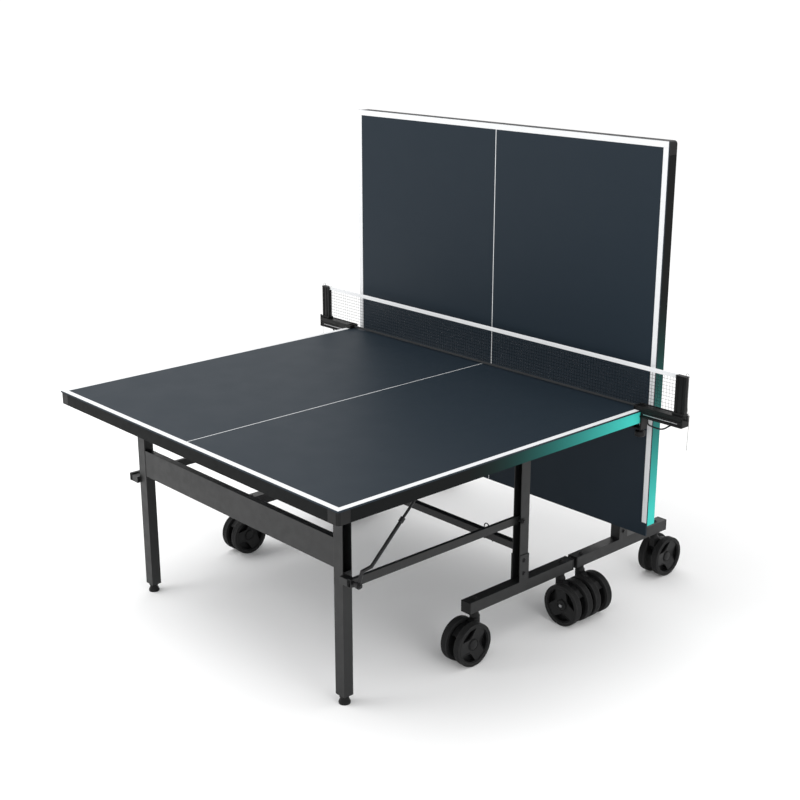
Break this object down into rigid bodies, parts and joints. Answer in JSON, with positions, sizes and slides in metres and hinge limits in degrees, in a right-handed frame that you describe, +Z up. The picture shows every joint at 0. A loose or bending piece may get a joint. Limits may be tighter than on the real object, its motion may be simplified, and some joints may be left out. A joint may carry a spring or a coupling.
{
  "type": "table-tennis table",
  "caption": "Folding table-tennis table on castors with a clamp-on net; near half flat for play, far half folded upright as a rebound wall.",
  "frame": {"origin": "on the floor, at the middle of the whole object's footprint as pictured", "axes": "+X across the table along the net, to the right as seen from the flat half; +Y from the flat half towards the upright half; +Z up"},
  "size_m": [1.897, 1.772, 1.6496],
  "materials": {
    "board": "matt dark blue-grey lacquer over a laminate board, with white lines",
    "frame": "satin black powder coat",
    "plastic": "moulded black plastic",
    "tyre": "soft black tread on a plastic wheel",
    "steel": "dark zinc-plated steel",
    "mesh": "open knitted net with a white top tape",
    "cord": "white braided cord"
  },
  "bodies": {
    "near_chassis": {"near_left_upright": "frame", "near_right_upright": "frame", "near_left_base_beam": "frame", "near_right_base_beam": "frame", "near_cross_beam": "frame"},
    "near_top": {"near_board": "board", "near_top_frame": "frame", "near_left_corner_guard": "plastic", "near_right_corner_guard": "plastic", "net": "mesh", "left_net_post": "plastic", "right_net_post": "plastic", "left_net_cord": "cord", "right_net_cord": "cord"},
    "near_legs": {"near_left_leg": "frame", "near_right_leg": "frame", "near_leg_apron": "frame"},
    "near_struts": {"near_left_strut": "frame", "near_right_strut": "frame"},
    "near_stay_link": {"near_right_stay": "steel"},
    "near_left_levelling_foot": {"near_left_foot": "plastic"},
    "near_left_outer_castor": {"near_left_outer_fork": "plastic"},
    "near_left_outer_wheelset": {"near_left_outer_wheels": "tyre"},
    "near_left_inner_castor": {"near_left_inner_fork": "plastic"},
    "near_left_inner_wheelset": {"near_left_inner_wheels": "tyre"},
    "near_right_levelling_foot": {"near_right_foot": "plastic"},
    "near_right_outer_castor": {"near_right_outer_fork": "plastic"},
    "near_right_outer_wheelset": {"near_right_outer_wheels": "tyre"},
    "near_right_inner_castor": {"near_right_inner_fork": "plastic"},
    "near_right_inner_wheelset": {"near_right_inner_wheels": "tyre"},
    "far_chassis": {"far_left_upright": "frame", "far_right_upright": "frame", "far_left_base_beam": "frame", "far_right_base_beam": "frame", "far_cross_beam": "frame"},
    "far_top": {"far_board": "board", "far_top_frame": "frame", "far_left_corner_guard": "plastic", "far_right_corner_guard": "plastic"},
    "far_legs": {"far_left_leg": "frame", "far_right_leg": "frame", "far_leg_apron": "frame"},
    "far_struts": {"far_left_strut": "frame", "far_right_strut": "frame"},
    "far_stay_link": {"far_left_stay": "steel"},
    "far_left_levelling_foot": {"far_left_foot": "plastic"},
    "far_left_outer_castor": {"far_left_outer_fork": "plastic"},
    "far_left_outer_wheelset": {"far_left_outer_wheels": "tyre"},
    "far_left_inner_castor": {"far_left_inner_fork": "plastic"},
    "far_left_inner_wheelset": {"far_left_inner_wheels": "tyre"},
    "far_right_levelling_foot": {"far_right_foot": "plastic"},
    "far_right_outer_castor": {"far_right_outer_fork": "plastic"},
    "far_right_outer_wheelset": {"far_right_outer_wheels": "tyre"},
    "far_right_inner_castor": {"far_right_inner_fork": "plastic"},
    "far_right_inner_wheelset": {"far_right_inner_wheels": "tyre"},
    "left_screw": {"left_clamp_screw": "steel"},
    "right_screw": {"right_clamp_screw": "steel"}
  },
  "joints": [
    {"name": "near_top_fold", "type": "hinge", "parent": "near_chassis", "child": "near_top", "pos_m": [0, 0.0372, 0.7264], "axis": [-1, 0, 0], "range_deg": [0, 90]},
    {"name": "near_leg_fold", "type": "hinge", "parent": "near_top", "child": "near_legs", "pos_m": [0, -0.686, 0.7264], "axis": [1, 0, 0], "range_deg": [0, 90]},
    {"name": "near_strut_fold", "type": "hinge", "parent": "near_chassis", "child": "near_struts", "pos_m": [0, 0.0167, 0.436], "axis": [-1, 0, 0], "range_deg": [0, 90]},
    {"name": "near_stay_fold", "type": "hinge", "parent": "near_legs", "child": "near_stay_link", "pos_m": [0, -0.7065, 0.436], "axis": [-1, 0, 0], "range_deg": [0, 134]},
    {"name": "near_left_foot_screw", "type": "slide", "parent": "near_legs", "child": "near_left_levelling_foot", "axis": [0, 0, -1], "range_m": [0, 0.01]},
    {"name": "near_left_outer_swivel", "type": "hinge", "parent": "near_chassis", "child": "near_left_outer_castor", "pos_m": [-0.613, -0.187, 0.16], "axis": [0, 0, 1], "continuous": true},
    {"name": "near_left_outer_spin", "type": "hinge", "parent": "near_left_outer_castor", "child": "near_left_outer_wheelset", "pos_m": [-0.613, -0.227, 0.075], "axis": [1, 0, 0], "continuous": true},
    {"name": "near_left_inner_swivel", "type": "hinge", "parent": "near_chassis", "child": "near_left_inner_castor", "pos_m": [-0.613, 0.24, 0.16], "axis": [0, 0, 1], "range_deg": [0, 180]},
    {"name": "near_left_inner_spin", "type": "hinge", "parent": "near_left_inner_castor", "child": "near_left_inner_wheelset", "pos_m": [-0.653, 0.24, 0.075], "axis": [0, 1, 0], "continuous": true},
    {"name": "near_right_foot_screw", "type": "slide", "parent": "near_legs", "child": "near_right_levelling_foot", "axis": [0, 0, -1], "range_m": [0, 0.01]},
    {"name": "near_right_outer_swivel", "type": "hinge", "parent": "near_chassis", "child": "near_right_outer_castor", "pos_m": [0.613, -0.187, 0.16], "axis": [0, 0, 1], "continuous": true},
    {"name": "near_right_outer_spin", "type": "hinge", "parent": "near_right_outer_castor", "child": "near_right_outer_wheelset", "pos_m": [0.613, -0.227, 0.075], "axis": [1, 0, 0], "continuous": true},
    {"name": "near_right_inner_swivel", "type": "hinge", "parent": "near_chassis", "child": "near_right_inner_castor", "pos_m": [0.613, 0.24, 0.16], "axis": [0, 0, 1], "range_deg": [-180, 0]},
    {"name": "near_right_inner_spin", "type": "hinge", "parent": "near_right_inner_castor", "child": "near_right_inner_wheelset", "pos_m": [0.653, 0.24, 0.075], "axis": [0, 1, 0], "continuous": true},
    {"name": "far_top_fold", "type": "hinge", "parent": "far_chassis", "child": "far_top", "pos_m": [0, 0.5468, 0.7264], "axis": [-1, 0, 0], "range_deg": [0, 90]},
    {"name": "far_leg_fold", "type": "hinge", "parent": "far_top", "child": "far_legs", "pos_m": [0, 0.5468, 1.4496], "axis": [1, 0, 0], "range_deg": [0, 90]},
    {"name": "far_strut_fold", "type": "hinge", "parent": "far_chassis", "child": "far_struts", "pos_m": [0, 0.5673, 0.436], "axis": [-1, 0, 0], "range_deg": [0, 90]},
    {"name": "far_stay_fold", "type": "hinge", "parent": "far_legs", "child": "far_stay_link", "pos_m": [0, 0.5673, 1.1592], "axis": [-1, 0, 0], "range_deg": [0, 134]},
    {"name": "far_left_foot_screw", "type": "slide", "parent": "far_legs", "child": "far_left_levelling_foot", "axis": [0, 0, -1], "range_m": [0, 0.01]},
    {"name": "far_left_outer_swivel", "type": "hinge", "parent": "far_chassis", "child": "far_left_outer_castor", "pos_m": [-0.613, 0.771, 0.16], "axis": [0, 0, 1], "continuous": true},
    {"name": "far_left_outer_spin", "type": "hinge", "parent": "far_left_outer_castor", "child": "far_left_outer_wheelset", "pos_m": [-0.613, 0.811, 0.075], "axis": [1, 0, 0], "continuous": true},
    {"name": "far_left_inner_swivel", "type": "hinge", "parent": "far_chassis", "child": "far_left_inner_castor", "pos_m": [-0.613, 0.344, 0.16], "axis": [0, 0, 1], "range_deg": [-180, 0]},
    {"name": "far_left_inner_spin", "type": "hinge", "parent": "far_left_inner_castor", "child": "far_left_inner_wheelset", "pos_m": [-0.653, 0.344, 0.075], "axis": [0, 1, 0], "continuous": true},
    {"name": "far_right_foot_screw", "type": "slide", "parent": "far_legs", "child": "far_right_levelling_foot", "axis": [0, 0, -1], "range_m": [0, 0.01]},
    {"name": "far_right_outer_swivel", "type": "hinge", "parent": "far_chassis", "child": "far_right_outer_castor", "pos_m": [0.613, 0.771, 0.16], "axis": [0, 0, 1], "continuous": true},
    {"name": "far_right_outer_spin", "type": "hinge", "parent": "far_right_outer_castor", "child": "far_right_outer_wheelset", "pos_m": [0.613, 0.811, 0.075], "axis": [1, 0, 0], "continuous": true},
    {"name": "far_right_inner_swivel", "type": "hinge", "parent": "far_chassis", "child": "far_right_inner_castor", "pos_m": [0.613, 0.344, 0.16], "axis": [0, 0, 1], "range_deg": [0, 180]},
    {"name": "far_right_inner_spin", "type": "hinge", "parent": "far_right_inner_castor", "child": "far_right_inner_wheelset", "pos_m": [0.653, 0.344, 0.075], "axis": [0, 1, 0], "continuous": true},
    {"name": "far_roll", "type": "slide", "parent": "near_chassis", "child": "far_chassis", "axis": [0, 1, 0], "range_m": [0, 0.4501]},
    {"name": "left_screw_turn", "type": "hinge", "parent": "near_top", "child": "left_screw", "pos_m": [-0.748, 0.467, 0.7], "axis": [0, 0, 1], "continuous": true},
    {"name": "right_screw_turn", "type": "hinge", "parent": "near_top", "child": "right_screw", "pos_m": [0.748, 0.467, 0.7], "axis": [0, 0, 1], "continuous": true}
  ],
  "couplings": [
    {"joint": "near_leg_fold", "follows": "near_top_fold", "ratio": 1},
    {"joint": "near_strut_fold", "follows": "near_top_fold", "ratio": 1},
    {"joint": "near_stay_fold", "follows": "near_top_fold", "ratio": 1.4841},
    {"joint": "far_leg_fold", "follows": "far_top_fold", "ratio": 1},
    {"joint": "far_strut_fold", "follows": "far_top_fold", "ratio": 1},
    {"joint": "far_stay_fold", "follows": "far_top_fold", "ratio": 1.4841},
    {"joint": "far_roll", "follows": "far_top_fold", "m_per_rad": 0.28648}
  ]
}
